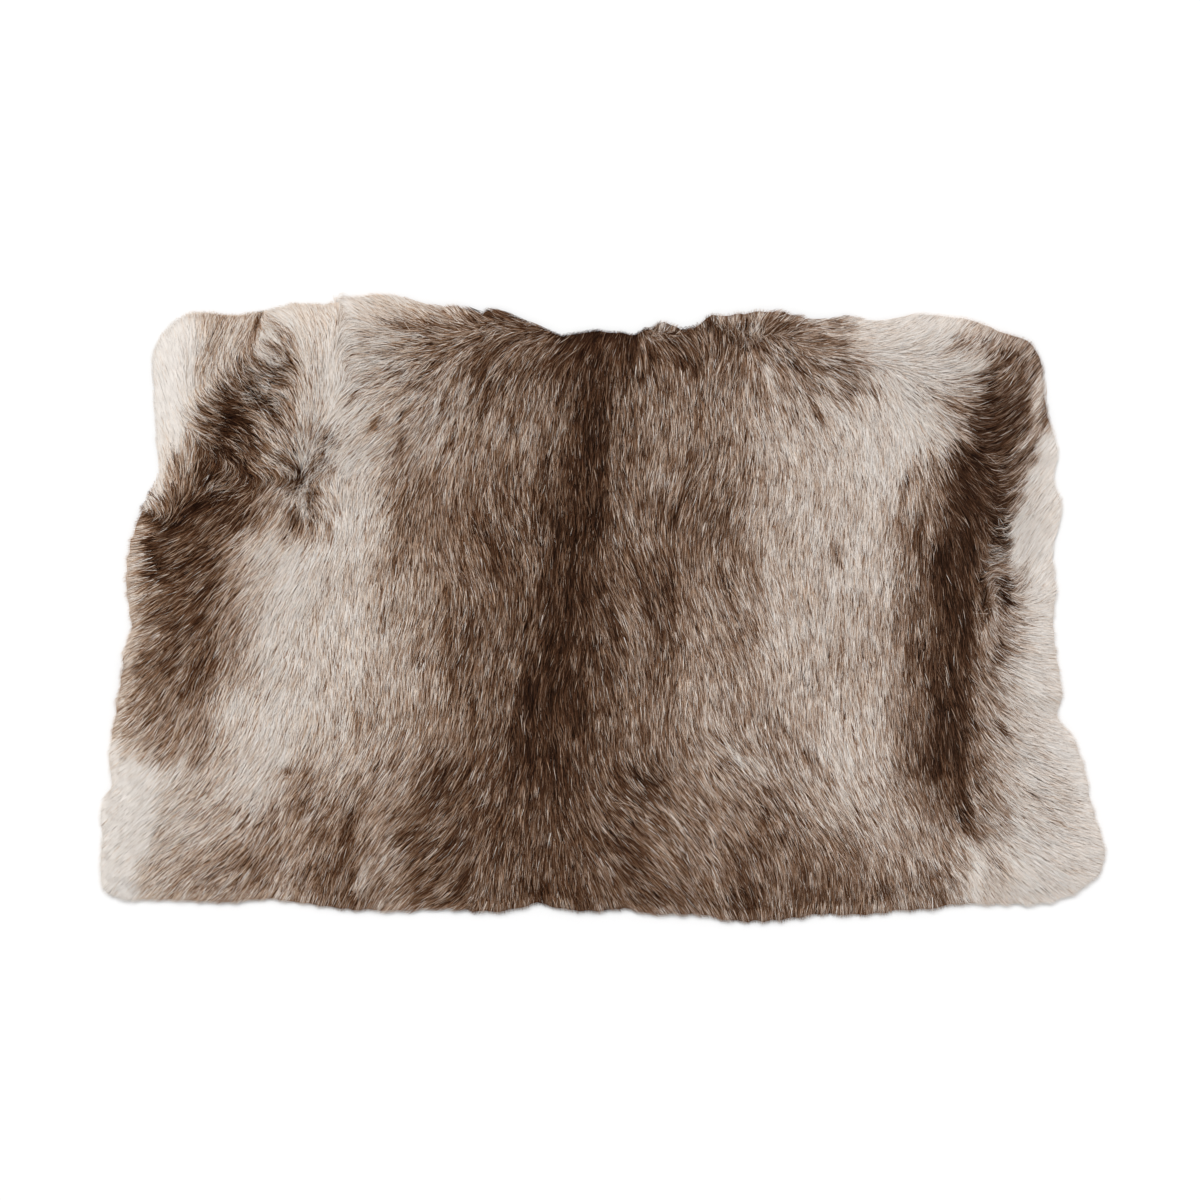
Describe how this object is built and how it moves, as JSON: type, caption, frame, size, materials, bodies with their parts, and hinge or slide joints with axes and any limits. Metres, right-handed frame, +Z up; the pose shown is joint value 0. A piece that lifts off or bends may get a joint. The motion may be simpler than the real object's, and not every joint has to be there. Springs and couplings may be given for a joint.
{
  "type": "reindeer hide",
  "caption": "Tanned reindeer hide with its hair on, lying flat: a soft trapezoid with a dark stripe down the back, brown flanks and pale belly edges.",
  "frame": {"origin": "middle of the underside's bounding box, on the surface the hide lies on", "axes": "+X across the back from flank to flank, +Y towards the neck end, +Z up out of the fur side"},
  "size_m": [1.108, 0.694, 0.0292],
  "materials": {
    "fur": "matt hair, taupe with dark brown stripes and cream edges"
  },
  "bodies": {
    "root": {"hide": "fur"}
  },
  "joints": []
}
